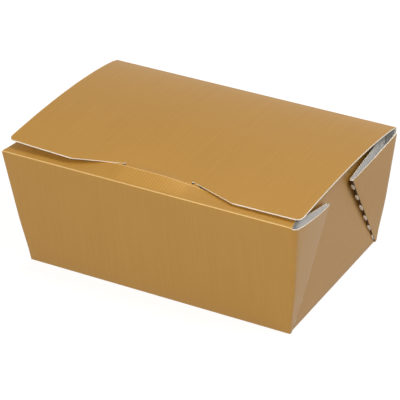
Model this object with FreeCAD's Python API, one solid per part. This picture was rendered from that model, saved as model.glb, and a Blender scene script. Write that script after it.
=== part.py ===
import FreeCAD, Part
import math
import os

# A ballotin: the flared sweet box that is folded from one creased sheet of card, coated on its outside.
#
# Frame: millimetres, +Z up, origin on the table under the middle of the box.
# X runs along the box, -Y is its front, where the lid closes.
#
# Two nodes. The carton is the whole sheet up to the rear crease: base, two long walls, two end walls,
# four gussets, the front flap and two dust flaps. The lid is the panel that swings on the rear crease.

# ---- the sheet ----
CARD = 0.45                 # thickness of the card
CREASE_INNER_RADIUS = 0.15  # of a crease between two panels

# ---- the tray ----
BASE_LENGTH = 130.0
BASE_WIDTH = 84.6
TOP_LENGTH = 144.4          # along the front crease, corner to corner
TOP_WIDTH = 95.9
HEIGHT = 57.5               # table to the front crease
POCKET_WIDTH = 5.8          # at the top, how far each corner stands out beyond the end wall
END_WALL_STEP = 0.6         # end walls stop this much lower, so that their flaps lie under the front flap

# ---- the gussets: the web at each corner, folded flat against the end wall ----
FOOT_STACK_GAP = 0.10       # room between the folded layers at the foot
WALL_GAP = 0.45             # at the top, between the end wall and the gusset's inner half
FOLD_GAP = 0.45             # at the top, inside the fold between the gusset's halves
CORNER_CLEARANCE = 0.15     # between the long wall and the turned edge of the end wall
FOOT_REACH = 1.75           # length of the folded gusset at the foot of its corner
FOOT_INSET = 0.5            # the end wall stands this far inside the base length at its foot
FOLD_FLAT = 0.16            # at the foot of a fold of 180 degrees, between its two bends

# ---- the cut-crease along each gusset's fold ----
SLOT_LENGTH = 4.6
SLOT_PITCH = 9.35
SLOT_FIRST = 4.9            # foot of the fold to the middle of the first slot
SLOT_DEPTH = 0.85           # takes away the whole bend, so that the fold opens there

# ---- the front flap ----
FRONT_FLAP_DEPTH = 9.8
FRONT_FLAP_TAPER = 2.0      # each end is this much shorter at the free edge
FRONT_FLAP_CORNER = 1.5
FLAP_RISE = 0.45            # free edge above the crease, under the lid's shoulders
FLAP_CROWN = 1.15           # extra rise over the lid's tongue
FLAP_CROWN_HALF_WIDTH = 25.0

# ---- the dust flaps on the end walls ----
DUST_FLAP_DEPTH = 25.0
DUST_FLAP_TAPER = 9.0
DUST_FLAP_CORNER = 8.0

# ---- the lid ----
LID_END_GAP = 0.3           # each end of the lid stops this much inside the front crease
LID_SETBACK = 4.2           # front crease to the lid's front edge
LID_CORNER_RADIUS = 3.0
LID_BOW_LEFT = 3.0          # arch of the panel above the line from crease to front edge
LID_BOW_RIGHT = 2.2
LID_LIFT_LEFT = 4.1         # the front edge springs up off the crease: left corner,
LID_LIFT_MIDDLE = 1.8       # middle, before the dip,
LID_LIFT_RIGHT = 1.9        # and right corner
LID_DIP = 1.9               # pulled down in the middle by its tongue
LID_DIP_HALF_WIDTH = 20.0
HINGE_CLEARANCE = 0.15      # between the lid's crease and the rear wall

# ---- the lid's closure: two slanted slits leave a tongue that tucks under the front flap ----
SLIT_MOUTH = 39.8           # from the middle, at the lid's front edge
SLIT_END = 17.2             # from the middle
SLIT_END_SETBACK = 11.8     # front crease to the slit's end
SLIT_HOLE_RADIUS = 0.65
SLIT_KERF = 0.30
SHOULDER_RADIUS = 2.0
TONGUE_CLEARANCE = 0.12     # under the front flap

# ---- worked out ----
CREASE_RADIUS = CREASE_INNER_RADIUS + CARD
FOLD_RADIUS = CARD + (FOOT_STACK_GAP - FOLD_FLAT) / 2
HINGE_BEAD_RADIUS = CARD    # the rear crease, as a round bead about the hinge axis
LID_LENGTH = TOP_LENGTH - 2 * LID_END_GAP
WALL_TOP = HEIGHT - CREASE_RADIUS
FRONT_SLANT = math.hypot(HEIGHT, (TOP_WIDTH - BASE_WIDTH) / 2)
CORNER_CREASE = math.hypot(FRONT_SLANT, (TOP_LENGTH - BASE_LENGTH) / 2)
LONG_WALL_FLARE = math.atan2((TOP_LENGTH - BASE_LENGTH) / 2, FRONT_SLANT)
END_WALL_FLARE = math.atan2((TOP_WIDTH - BASE_WIDTH) / 2, HEIGHT)
# the four angles of sheet round a corner of the base add up to a full turn; the fold halves the web
GUSSET_HALF_ANGLE = (math.pi / 2 - LONG_WALL_FLARE - END_WALL_FLARE) / 2
FOLD_LEAN = GUSSET_HALF_ANGLE - END_WALL_FLARE
FOLD_TOP_Z = CORNER_CREASE * math.cos(FOLD_LEAN)
FOLD_TOP_Y = BASE_WIDTH / 2 - CORNER_CREASE * math.sin(FOLD_LEAN)
FRONT_Y = -TOP_WIDTH / 2
HINGE_Y = TOP_WIDTH / 2 - HINGE_BEAD_RADIUS
HINGE_Z = HEIGHT - HINGE_BEAD_RADIUS
LID_FRONT_Y = FRONT_Y + LID_SETBACK
SLIT_END_Y = FRONT_Y + SLIT_END_SETBACK
FLAP_START_Y = CREASE_RADIUS - (BASE_WIDTH + (TOP_WIDTH - BASE_WIDTH) * WALL_TOP / HEIGHT) / 2
FLAP_EDGE_Y = FRONT_Y + FRONT_FLAP_DEPTH


def up_the_wall(z, foot, top):
    """A size that changes evenly from the table to the full height."""
    return foot + (top - foot) * z / HEIGHT


def half_width(z):
    return up_the_wall(z, BASE_WIDTH, TOP_WIDTH) / 2


def end_wall_x(z):
    """Outer face of the right end wall."""
    return up_the_wall(z, BASE_LENGTH / 2 - FOOT_INSET, TOP_LENGTH / 2 - POCKET_WIDTH)


def wall_gap(z):
    return up_the_wall(z, FOOT_STACK_GAP, WALL_GAP)


def fold_y(z):
    """How far the gusset's fold stands from the middle of the end wall; upright above the fold's own top."""
    foot = BASE_WIDTH / 2 - FOOT_REACH
    return foot + (FOLD_TOP_Y - foot) * min(z, FOLD_TOP_Z) / FOLD_TOP_Z


def fold_x(z):
    """Outer face of the gusset where its fold stands, up to the fold's top."""
    return end_wall_x(z) + wall_gap(z) + up_the_wall(z, FOOT_STACK_GAP, FOLD_GAP) + 2 * CARD


def half_length(z):
    """Outer face of the gusset at its corner, which is the end of the long wall."""
    reach = half_width(0) - fold_y(0)
    foot = fold_x(0) + outer_half_splay() * reach
    return up_the_wall(z, foot, TOP_LENGTH / 2)


def outer_half_splay():
    """How fast the gusset's outer half leans out towards its corner; alike at any height, as it is one plane."""
    reach_at_foot = half_width(0) - fold_y(0)
    reach_at_top = half_width(FOLD_TOP_Z) - FOLD_TOP_Y
    rise = FOLD_TOP_Z / HEIGHT
    widening = (1 - rise) * fold_x(0) + rise * TOP_LENGTH / 2 - fold_x(FOLD_TOP_Z)
    return widening / (reach_at_top - (1 - rise) * reach_at_foot)


def coated_outline(z):
    """Front right corner of the tray's coated side, from the front wall to the end wall: (x, y)."""
    turned_edge = -half_width(z) + CARD + CORNER_CLEARANCE
    outer_half_end = half_length(z) - outer_half_splay() * (half_width(z) - fold_y(z))
    return [
        (half_length(z), -half_width(z)),
        (outer_half_end, -fold_y(z)),
        (end_wall_x(z) + wall_gap(z), -fold_y(z)),
        (end_wall_x(z) + wall_gap(z), turned_edge + CARD),
        (end_wall_x(z), turned_edge + CARD),
    ]


def around(corner):
    """The whole outline, anticlockwise from above, from its front right corner."""
    right = corner + [(x, -y) for x, y in reversed(corner)]
    return right + [(-x, -y) for x, y in right]


def inset(outline, distance):
    """The outline moved to its left by a distance, with its corners kept sharp."""
    moved = []
    for i in range(len(outline)):
        here = FreeCAD.Vector(*outline[i])
        before = (here - FreeCAD.Vector(*outline[i - 1])).normalize()
        after = (FreeCAD.Vector(*outline[(i + 1) % len(outline)]) - here).normalize()
        left_before = FreeCAD.Vector(-before.y, before.x)
        left_after = FreeCAD.Vector(-after.y, after.x)
        corner = here + (left_before + left_after) * (distance / (1 + left_before.dot(left_after)))
        moved.append((corner.x, corner.y))
    return moved


def on_level(outline, z):
    return [FreeCAD.Vector(x, y, z) for x, y in outline]


def upright(rings, turn, stop):
    """Lines up the tray at one turn of its outline, at all four corners, from the first ring to ring stop."""
    count = len(rings[0]) // 4
    places = (turn, 2 * count - 1 - turn, 2 * count + turn, 4 * count - 1 - turn)
    return [(rings[0][i], rings[stop][i]) for i in places]


def round_the_base(rings):
    """The four lines between the base and its walls."""
    count = len(rings[0]) // 4
    return [(rings[0][i * count - 1], rings[0][i * count]) for i in range(4)]


def walled(rings):
    """A solid through rings of as many points, whose sides are planes."""
    sides = [rings[0][::-1], rings[-1]]
    for lower, upper in zip(rings, rings[1:]):
        for i in range(len(lower)):
            sides.append([lower[i - 1], lower[i], upper[i], upper[i - 1]])
    shell = Part.makeShell([Part.Face(Part.makePolygon(side + side[:1])) for side in sides])
    shell.sewShape()
    return Part.makeSolid(shell).removeSplitter()


def lies_on(edge, line):
    """Whether an edge is all or most of the line between two points."""
    start, stop = line
    along = (stop - start).normalize()
    for vertex in edge.Vertexes:
        offset = vertex.Point - start
        if (offset - along * offset.dot(along)).Length > FOOT_STACK_GAP / 10:
            return False
    return edge.Length > start.distanceToPoint(stop) / 2


def rounded(solid, lines, radius):
    """The solid with a bend along each of the lines."""
    picked = [edge for edge in solid.Edges if any(lies_on(edge, line) for line in lines)]
    return solid.makeFillet(radius, picked)


def tray():
    """Base, walls and gussets: the sheet between its coated and its plain side."""
    heights = (FOLD_TOP_Z, WALL_TOP)
    outer = [on_level(around(coated_outline(z)), z) for z in (0, *heights)]
    inner = [on_level(inset(around(coated_outline(z)), CARD), z) for z in (CARD, *heights)]
    fold = upright(outer, 1, 1) + upright(outer, 2, 1)
    turned_edge = upright(inner, 3, 2)
    coated = rounded(walled(outer), fold, FOLD_RADIUS)
    coated = rounded(coated, upright(outer, 0, 2) + round_the_base(outer), CREASE_RADIUS)
    plain = rounded(walled(inner), upright(inner, 0, 2) + round_the_base(inner), CREASE_INNER_RADIUS)
    plain = rounded(plain, turned_edge, FOLD_RADIUS)
    return coated.cut(plain)


def prism(points, x_inner, x_outer):
    """A solid between two x planes; x_inner may change with height. points are (y, z)."""
    inner = [FreeCAD.Vector(x_inner(z), y, z) for y, z in points]
    outer = [FreeCAD.Vector(x_outer(z), y, z) for y, z in points]
    return walled([inner, outer])


def right_and_left(shape):
    return [shape, shape.mirror(FreeCAD.Vector(0, 0, 0), FreeCAD.Vector(1, 0, 0))]


def front_and_rear(shape):
    return [shape, shape.mirror(FreeCAD.Vector(0, 0, 0), FreeCAD.Vector(0, 1, 0))]


def at_each_corner(shape):
    return [copy for side in right_and_left(shape) for copy in front_and_rear(side)]


def beside_end_wall(z):
    """A surface in the gap between the end wall and the gusset's inner half."""
    return end_wall_x(z) + wall_gap(z) / 2


def outside(z):
    return TOP_LENGTH / 2 + CREASE_RADIUS


def gusset_top_cutter():
    """Takes the gusset down to its slanted open edge, from inside the front wall to the top of its fold."""
    corner_y = -half_width(WALL_TOP) + CARD
    slope = (FOLD_TOP_Z - WALL_TOP) / (-FOLD_TOP_Y - corner_y)
    past_fold = -FOLD_TOP_Y + CREASE_RADIUS
    points = [
        (corner_y, WALL_TOP),
        (past_fold, WALL_TOP + slope * (past_fold - corner_y)),
        (past_fold, HEIGHT + CREASE_RADIUS),
        (corner_y, HEIGHT + CREASE_RADIUS),
    ]
    return prism(points, beside_end_wall, outside)


def end_wall_top_cutter():
    """Takes the end wall down to the crease of its dust flap."""
    reach = half_width(WALL_TOP) - CARD - CORNER_CLEARANCE / 2
    foot = WALL_TOP - END_WALL_STEP
    points = [(-reach, foot), (reach, foot), (reach, HEIGHT), (-reach, HEIGHT)]
    return prism(points, beside_end_wall, lambda z: end_wall_x(0) - 2 * CARD)


def rear_wall_top_cutter():
    """Takes the rear wall down to just under the hinge bead."""
    foot = HINGE_Z - HINGE_BEAD_RADIUS - HINGE_CLEARANCE
    inner = HINGE_Y - HINGE_BEAD_RADIUS - HINGE_CLEARANCE
    box = Part.makeBox(2 * TOP_LENGTH, TOP_WIDTH, HEIGHT)
    return box.translate(FreeCAD.Vector(-TOP_LENGTH, inner, foot))


def slots():
    """The cuts of the cut-crease, square through the fold."""
    foot = FreeCAD.Vector(0, -fold_y(0), 0)
    along = FreeCAD.Vector(0, -FOLD_TOP_Y, FOLD_TOP_Z) - foot
    count = 1 + math.floor((along.Length - SLOT_FIRST) / SLOT_PITCH)
    along.normalize()
    inward = FreeCAD.Vector(0, -along.z, along.y)
    cutters = []
    for i in range(count):
        middle = foot + along * (SLOT_FIRST + i * SLOT_PITCH)
        corners = []
        for step, depth in ((-1, -1), (1, -1), (1, 1), (-1, 1)):
            corner = middle + along * (step * SLOT_LENGTH / 2)
            corner += inward * (SLOT_DEPTH if depth > 0 else -SLOT_DEPTH)
            corners.append((corner.y, corner.z))
        cutters += at_each_corner(prism(corners, beside_end_wall, outside))
    return cutters


def crease_roll(outer, height, span):
    """A quarter turn of card, from an upright wall whose outer face is at outer to a flap, along X."""
    centre = FreeCAD.Vector(-span / 2, outer + CREASE_RADIUS, height)
    pipe = Part.makeCylinder(CREASE_RADIUS, span, centre, FreeCAD.Vector(1, 0, 0))
    bore = Part.makeCylinder(CREASE_RADIUS - CARD, span, centre, FreeCAD.Vector(1, 0, 0))
    quarter = Part.makeBox(span, CREASE_RADIUS, CREASE_RADIUS)
    quarter.translate(FreeCAD.Vector(-span / 2, outer, height))
    return pipe.cut(bore).common(quarter)


def rounded_outline(points):
    """A flat face at z = 0 with rounded corners; points are (x, y, radius), anticlockwise."""
    count = len(points)
    edges = []
    stops = []
    for i in range(count):
        here = FreeCAD.Vector(points[i][0], points[i][1], 0)
        back = FreeCAD.Vector(points[i - 1][0], points[i - 1][1], 0) - here
        ahead = FreeCAD.Vector(points[(i + 1) % count][0], points[(i + 1) % count][1], 0) - here
        back.normalize()
        ahead.normalize()
        radius = points[i][2]
        opening = back.getAngle(ahead)
        reach = radius / math.tan(opening / 2)
        bisector = (back + ahead).normalize()
        middle = here + bisector * (radius / math.sin(opening / 2) - radius)
        stops.append((here + back * reach, middle, here + ahead * reach))
    for i in range(count):
        if points[i][2] > 0:
            edges.append(Part.Arc(*stops[i]).toShape())
        edges.append(Part.LineSegment(stops[i][2], stops[(i + 1) % count][0]).toShape())
    return Part.Face(Part.Wire(edges))


def cookie(points):
    """An upright prism of an outline, tall enough to trim any panel of the closure."""
    face = rounded_outline(points)
    face.translate(FreeCAD.Vector(0, 0, WALL_TOP - 2 * CREASE_RADIUS))
    return face.extrude(FreeCAD.Vector(0, 0, HEIGHT / 2))


def curved_panel(top, stations, rows):
    """Card whose upper face has the height top(x, y), lofted from row to row."""
    sections = []
    for y in rows:
        upper = [FreeCAD.Vector(x, y, top(x, y)) for x in stations]
        lower = [point - FreeCAD.Vector(0, 0, CARD) for point in reversed(upper)]
        crest = Part.BSplineCurve()
        crest.interpolate(upper)
        belly = Part.BSplineCurve()
        belly.interpolate(lower)
        ends = [Part.LineSegment(upper[-1], lower[0]), Part.LineSegment(lower[-1], upper[0])]
        sections.append(Part.Wire([edge.toShape() for edge in (crest, ends[0], belly, ends[1])]))
    return Part.makeLoft(sections, True, False)


def spaced(start, stop, count):
    return [start + (stop - start) * i / (count - 1) for i in range(count)]


def flap_height(x, y):
    """Upper face of the front flap: almost flat at its ends, crowned over the lid's tongue."""
    crown = FLAP_CROWN * math.exp(-(x / FLAP_CROWN_HALF_WIDTH) ** 4)
    return HEIGHT + (FLAP_RISE + crown) * (y - FLAP_START_Y) / (FLAP_EDGE_Y - FLAP_START_Y)


def front_flap():
    half = half_length(WALL_TOP) - CREASE_RADIUS
    panel = curved_panel(flap_height, spaced(-half, half, 25), [FLAP_START_Y, FLAP_EDGE_Y])
    shorter = half - FRONT_FLAP_TAPER
    outline = cookie([
        (-half, FLAP_START_Y, 0),
        (half, FLAP_START_Y, 0),
        (shorter, FLAP_EDGE_Y, FRONT_FLAP_CORNER),
        (-shorter, FLAP_EDGE_Y, FRONT_FLAP_CORNER),
    ])
    roll = crease_roll(-half_width(WALL_TOP), WALL_TOP, 2 * half)
    return [roll, panel.common(outline)]


def dust_flap():
    """The right-hand dust flap, with its crease, worked along X and then turned to the end wall."""
    foot = WALL_TOP - END_WALL_STEP
    half = half_width(foot) - 2 * CARD - 2 * CORNER_CLEARANCE - WALL_GAP
    root = CREASE_RADIUS
    shorter = half - DUST_FLAP_TAPER
    outline = rounded_outline([
        (-half, root, 0),
        (half, root, 0),
        (shorter, DUST_FLAP_DEPTH, DUST_FLAP_CORNER),
        (-shorter, DUST_FLAP_DEPTH, DUST_FLAP_CORNER),
    ])
    outline.translate(FreeCAD.Vector(0, 0, foot + CREASE_RADIUS - CARD))
    pieces = [crease_roll(0, foot, 2 * half), outline.extrude(FreeCAD.Vector(0, 0, CARD))]
    for piece in pieces:
        piece.rotate(FreeCAD.Vector(0, 0, 0), FreeCAD.Vector(0, 0, 1), 90)
        piece.translate(FreeCAD.Vector(end_wall_x(foot), 0, 0))
    return pieces


def carton():
    body = tray()
    body = body.cut(at_each_corner(gusset_top_cutter()))
    body = body.cut(right_and_left(end_wall_top_cutter()) + [rear_wall_top_cutter()])
    body = body.cut(slots())
    dust_flaps = [copy for piece in dust_flap() for copy in right_and_left(piece)]
    return body.fuse(front_flap() + dust_flaps)


def lid_height(x, y):
    """Upper face of the lid at rest: arched, sprung up at its front corners, dipped at its tongue."""
    across = 2 * x / LID_LENGTH
    ahead = (HINGE_Y - y) / (HINGE_Y - LID_FRONT_Y)
    tilt = (LID_LIFT_RIGHT - LID_LIFT_LEFT) / 2
    curl = (LID_LIFT_RIGHT + LID_LIFT_LEFT) / 2 - LID_LIFT_MIDDLE
    lift = LID_LIFT_MIDDLE + tilt * across + curl * across ** 2
    bow = (LID_BOW_LEFT + LID_BOW_RIGHT) / 2 + (LID_BOW_RIGHT - LID_BOW_LEFT) / 2 * across
    dip = LID_DIP * math.exp(-(x / LID_DIP_HALF_WIDTH) ** 2) * ahead ** 4
    return HEIGHT + lift * ahead + 4 * bow * ahead * (1 - ahead) - dip


def tongue_height(x, y):
    """Upper face of the lid and tongue: the lid's own face, eased down under the front flap."""
    under = flap_height(x, y) - CARD - TONGUE_CLEARANCE
    if y >= SLIT_END_Y:
        return lid_height(x, y)
    share = min(1, (SLIT_END_Y - y) / (SLIT_END_Y - FLAP_EDGE_Y))
    ease = share * share * (3 - 2 * share)
    return lid_height(x, y) * (1 - ease) + under * ease


def lid():
    half = LID_LENGTH / 2
    stations = spaced(-half, half, 25)
    start = HINGE_Y + HINGE_BEAD_RADIUS / 6
    panel = curved_panel(lid_height, stations, spaced(start, SLIT_END_Y, 9) + [LID_FRONT_Y])
    panel = panel.common(cookie([
        (half, start, 0),
        (-half, start, 0),
        (-half, LID_FRONT_Y, LID_CORNER_RADIUS),
        (-SLIT_MOUTH, LID_FRONT_Y, SHOULDER_RADIUS),
        (-SLIT_END, SLIT_END_Y, 0),
        (SLIT_END, SLIT_END_Y, 0),
        (SLIT_MOUTH, LID_FRONT_Y, SHOULDER_RADIUS),
        (half, LID_FRONT_Y, LID_CORNER_RADIUS),
    ]))
    bead_start = FreeCAD.Vector(-half, HINGE_Y, HINGE_Z)
    bead = Part.makeCylinder(HINGE_BEAD_RADIUS, LID_LENGTH, bead_start, FreeCAD.Vector(1, 0, 0))
    tongue_rows = spaced(SLIT_END_Y, LID_FRONT_Y, 9)
    tongue = curved_panel(tongue_height, stations, tongue_rows).common(cookie([
        (-SLIT_MOUTH + SLIT_KERF, LID_FRONT_Y, SLIT_HOLE_RADIUS),
        (SLIT_MOUTH - SLIT_KERF, LID_FRONT_Y, SLIT_HOLE_RADIUS),
        (SLIT_END - SLIT_KERF, SLIT_END_Y, 0),
        (-SLIT_END + SLIT_KERF, SLIT_END_Y, 0),
    ]))
    hole_place = FreeCAD.Vector(SLIT_END - SLIT_KERF / 2, SLIT_END_Y, WALL_TOP)
    hole = Part.makeCylinder(SLIT_HOLE_RADIUS, HEIGHT / 2, hole_place)
    return panel.fuse([bead, tongue]).cut(right_and_left(hole))


os.makedirs("parts", exist_ok=True)
carton().exportStep("parts/carton.step")
lid().exportStep("parts/lid.step")
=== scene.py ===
# %% [markdown]
# # A sweet box folded from one sheet of gold card
#
# This lesson dresses a ballotin, the flared box that chocolates are sold in. The real one is a single
# sheet: white board with a satin gold coating on one side, creased, cut and folded. So there are only two
# pieces to model here, the carton and its lid, and almost everything that makes it look real is in how
# thin card bends, what its cut edges show, and how its coating takes the light.

# %% The frame
import math

import bmesh
import bpy
from mathutils import Matrix, Vector


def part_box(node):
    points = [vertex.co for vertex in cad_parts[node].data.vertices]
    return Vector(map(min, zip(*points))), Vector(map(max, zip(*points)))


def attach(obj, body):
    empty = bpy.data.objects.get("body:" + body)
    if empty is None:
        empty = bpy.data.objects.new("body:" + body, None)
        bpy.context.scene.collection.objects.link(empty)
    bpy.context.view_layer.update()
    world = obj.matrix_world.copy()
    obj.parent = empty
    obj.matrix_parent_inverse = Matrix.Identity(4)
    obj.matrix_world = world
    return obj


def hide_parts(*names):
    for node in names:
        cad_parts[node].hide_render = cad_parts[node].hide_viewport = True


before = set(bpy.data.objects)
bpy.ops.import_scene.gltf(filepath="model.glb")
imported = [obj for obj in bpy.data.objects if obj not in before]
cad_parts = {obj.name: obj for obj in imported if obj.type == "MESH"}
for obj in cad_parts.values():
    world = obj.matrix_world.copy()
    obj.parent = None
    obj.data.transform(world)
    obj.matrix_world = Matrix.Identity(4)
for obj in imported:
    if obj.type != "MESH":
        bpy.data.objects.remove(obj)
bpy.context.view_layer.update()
lid_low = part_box("lid")[0]

# %% [markdown]
# ## The sizes of the folded sheet
#
# A handful of sizes describe a box like this: the base, the top, the height, the card's thickness and how
# tightly it turns at a crease. The sizes between them are worked out. The walls lean outwards, so a size
# on a wall depends on the height z, and small functions give it. A gusset is the web of card between a
# long wall and an end wall, folded in two and laid against the end wall. Where its fold comes follows from
# the angles of the sheet round the corner of the base.

# %% Sizes of the tray
mm = 0.001
CARD = 0.45 * mm
HEIGHT = 57.5 * mm
TOP_LENGTH = 144.4 * mm
TOP_WIDTH = 95.9 * mm
BASE_LENGTH = 130.0 * mm
BASE_WIDTH = 84.6 * mm
CREASE_RADIUS = 0.6 * mm
WALL_TOP = HEIGHT - CREASE_RADIUS
END_TOP = WALL_TOP - 0.6 * mm
BEND = CREASE_RADIUS - CARD / 2
FOLD_BEND = 0.24 * mm
FOOT_GAP = 0.10 * mm
TOP_GAP = 0.45 * mm
CORNER_CLEARANCE = 0.15 * mm
FOOT_REACH = 1.75 * mm
FOOT_OUTSET = 0.2 * mm
END_WALL_SPREAD = 1.2 * mm
FOLD_PROUD_FOOT = 0.15 * mm
FOLD_PROUD_TOP = 0.45 * mm

# Lengths and angles round a corner of the flat sheet, and where they put the top of a gusset's fold.
FRONT_SLANT = math.hypot(HEIGHT, (TOP_WIDTH - BASE_WIDTH) / 2)
CORNER_CREASE = math.hypot(FRONT_SLANT, (TOP_LENGTH - BASE_LENGTH) / 2)
LONG_WALL_FLARE = math.atan2((TOP_LENGTH - BASE_LENGTH) / 2, FRONT_SLANT)
END_WALL_FLARE = math.atan2((TOP_WIDTH - BASE_WIDTH) / 2, HEIGHT)
LONG_CREASE = BASE_WIDTH / 2 + FRONT_SLANT
HALF_WEB = (math.pi / 2 - LONG_WALL_FLARE - END_WALL_FLARE) / 2
FOLD_TOP_Z = CORNER_CREASE * math.cos(HALF_WEB - END_WALL_FLARE)
FOLD_TOP_Y = BASE_WIDTH / 2 - CORNER_CREASE * math.sin(HALF_WEB - END_WALL_FLARE)


def up_the_wall(z, foot, top):
    return foot + (top - foot) * z / HEIGHT


def half_width(z):
    return up_the_wall(z, BASE_WIDTH, TOP_WIDTH) / 2


def end_wall_x(z):
    foot = BASE_LENGTH / 2 + FOOT_OUTSET
    return up_the_wall(z, foot, foot + END_WALL_SPREAD)


def gap(z):
    """The air between the end wall and the gusset, and between the gusset's two leaves."""
    return up_the_wall(z, FOOT_GAP, TOP_GAP)


def fold_y(z):
    foot = BASE_WIDTH / 2 - FOOT_REACH
    return foot + (FOLD_TOP_Y - foot) * z / FOLD_TOP_Z


def fold_x(z):
    """The outside of the gusset at its fold."""
    return end_wall_x(z) + 2 * gap(z) + 2 * CARD


def proud(z):
    """How far the fold stands off the end wall, since folded card never lies quite flat."""
    return up_the_wall(z, FOLD_PROUD_FOOT, FOLD_PROUD_TOP)


def half_length(z):
    """The outside of the box at its corners, where the long walls end."""
    splay = (TOP_LENGTH / 2 - fold_x(HEIGHT)) / (half_width(HEIGHT) - fold_y(HEIGHT))
    return fold_x(z) + splay * (half_width(z) - fold_y(z))


print("a gusset folds its web of", round(2 * math.degrees(HALF_WEB), 1), "degrees in half")

# %% [markdown]
# ## Sheets as grids
#
# Folded card is best modelled as a surface first and thickened at the end, as the real thing starts flat.
# Each panel is a grid of points laid through the middle of the card, and the grids meet on shared rows, so
# one merge welds them into a single sheet. Every point also carries its place in the flat blank, as a UV
# map in metres, because the streaks and ribs of its coating follow the blank and not the room.


# %% Helper: a grid of faces
def add_grid(sheet, rows, blank):
    """Faces through rows of points; blank has each point's place in the flat sheet."""
    layer = sheet.verts.layers.float_vector.get("flat") or sheet.verts.layers.float_vector.new("flat")
    made = []
    for row, flat_row in zip(rows, blank):
        line = [sheet.verts.new(point) for point in row]
        for vert, flat in zip(line, flat_row):
            vert[layer] = flat
        made.append(line)
    for below, above in zip(made, made[1:]):
        for i in range(len(below) - 1):
            sheet.faces.new((below[i], below[i + 1], above[i + 1], above[i]))
    return made


def spaced(start, stop, count):
    """Evenly spaced numbers, both ends included."""
    return [start + (stop - start) * i / (count - 1) for i in range(count)]


def mix(a, b, share):
    return a + (b - a) * share


# %% Helper: from sheet to card
WELD = CARD / 100
SHARP_ANGLE = math.radians(38)


def new_object(name, data):
    """A new object, already in the scene."""
    made = bpy.data.objects.new(name, data)
    bpy.context.scene.collection.objects.link(made)
    return made


def thickened(name, sheet, materials):
    """Welds the sheet's grids, gives it the card's thickness and returns the finished object."""
    bmesh.ops.remove_doubles(sheet, verts=sheet.verts, dist=WELD)
    layer = sheet.verts.layers.float_vector["flat"]
    uv = sheet.loops.layers.uv.new("blank")
    for face in sheet.faces:
        for loop in face.loops:
            loop[uv].uv = loop.vert[layer].xy
    mesh = bpy.data.meshes.new(name)
    sheet.to_mesh(mesh)
    sheet.free()
    for material in materials:
        mesh.materials.append(material)
    piece = new_object(name, mesh)
    card = piece.modifiers.new("card", "SOLIDIFY")
    card.thickness = CARD
    card.offset = 0
    card.use_even_offset = True
    card.material_offset = 1
    card.material_offset_rim = 2
    return applied(piece)


def applied(piece):
    """The piece with its modifiers made into plain mesh."""
    bpy.context.view_layer.update()
    evaluated = piece.evaluated_get(bpy.context.evaluated_depsgraph_get())
    mesh = bpy.data.meshes.new_from_object(evaluated)
    piece.modifiers.clear()
    piece.data = mesh
    mesh.name = piece.name
    return piece


def soften(piece):
    """Smooth shading, except where two faces meet at more than the sharp angle."""
    mesh = bmesh.new()
    mesh.from_mesh(piece.data)
    for face in mesh.faces:
        face.smooth = True
    for edge in mesh.edges:
        edge.smooth = len(edge.link_faces) == 2 and edge.calc_face_angle(0) < SHARP_ANGLE
    mesh.to_mesh(piece.data)
    mesh.free()


print("edges stay sharp above", round(math.degrees(SHARP_ANGLE)), "degrees")

# %% [markdown]
# ## One corner of the tray
#
# Seen from above, the card turns five times at each corner: once where the long wall ends, twice round the
# gusset's fold, where the web doubles back on itself, and twice more where it comes back to the end wall.
# The corner could be sculpted, but then nothing would keep the two leaves a card's thickness apart. So a
# turn is an arc worked out from its two neighbours, and a column of points climbs the wall from each of
# its places. The open edge of the gusset slants down to its fold, so the columns there are shorter.


# %% Turns of the card at a corner
def turns(z):
    """The card's turns at a height, in its middle, from front wall to end wall: (x, y, radius)."""
    front = CARD / 2 - half_width(z)
    tip = -fold_y(z) - CARD / 2
    turned_edge = front + CARD + CORNER_CLEARANCE
    inner = end_wall_x(z) + gap(z) + CARD / 2
    return [
        (half_length(z) - CARD / 2, front, BEND),
        (inner + CARD + gap(z) + proud(z), tip, FOLD_BEND),
        (inner + proud(z), tip, FOLD_BEND),
        (inner, turned_edge, FOLD_BEND),
        (end_wall_x(z) - CARD / 2, turned_edge, FOLD_BEND),
    ]


TURN_TOPS = [WALL_TOP, FOLD_TOP_Z, FOLD_TOP_Z, WALL_TOP, END_TOP]
TURN_STEPS = 5


def turn_arc(place, z, radius=None):
    """Points round one turn, at a height; the turn's own radius can be given instead."""
    path = turns(z)
    path = [(0, path[0][1], 0)] + path + [(path[-1][0], 0, 0)]
    here = Vector((path[place + 1][0], path[place + 1][1], 0))
    back = (Vector((path[place][0], path[place][1], 0)) - here).normalized()
    ahead = (Vector((path[place + 2][0], path[place + 2][1], 0)) - here).normalized()
    radius = radius or path[place + 1][2]
    opening = back.angle(ahead)
    reach = radius / math.tan(opening / 2)
    centre = here + (back + ahead).normalized() * (radius / math.sin(opening / 2))
    start = here + back * reach - centre
    sweep = start.xy.angle_signed((here + ahead * reach - centre).xy)
    points = []
    for share in spaced(0, 1, TURN_STEPS):
        spoke = Matrix.Rotation(-sweep * share, 3, "Z") @ start
        points.append(Vector((centre.x + spoke.x, centre.y + spoke.y, z)))
    return points


print("the five turns end at heights of", [round(1000 * top, 1) for top in TURN_TOPS], "mm")

# %% [markdown]
# ### The spring of folded card
#
# Card remembers that it was flat. Near the top, where nothing holds it, the gusset's mouth opens: its
# outer leaf springs away and bows out, and its inner leaf bows a little too. So each column also has a
# spring, a small push that grows with the height. No two corners of a hand-folded box are alike, and
# mirror images of one perfect corner would look moulded, so a corner can also bend more loosely, stand
# lower at its top or reach further out.

# %% Columns of one corner
FOOT_Z = CARD / 2
GUSSET_COLUMNS = 9
FOLD_SPRING = 0.5 * mm
MOUTH_BULGE = 0.9 * mm
FULLNESS = 0.6
LEAF_SKEW = 1.6
NO_PUSH = Vector((0, 0, 0))
corner_of_base = Vector((BASE_LENGTH / 2, -BASE_WIDTH / 2, 0))


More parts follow.
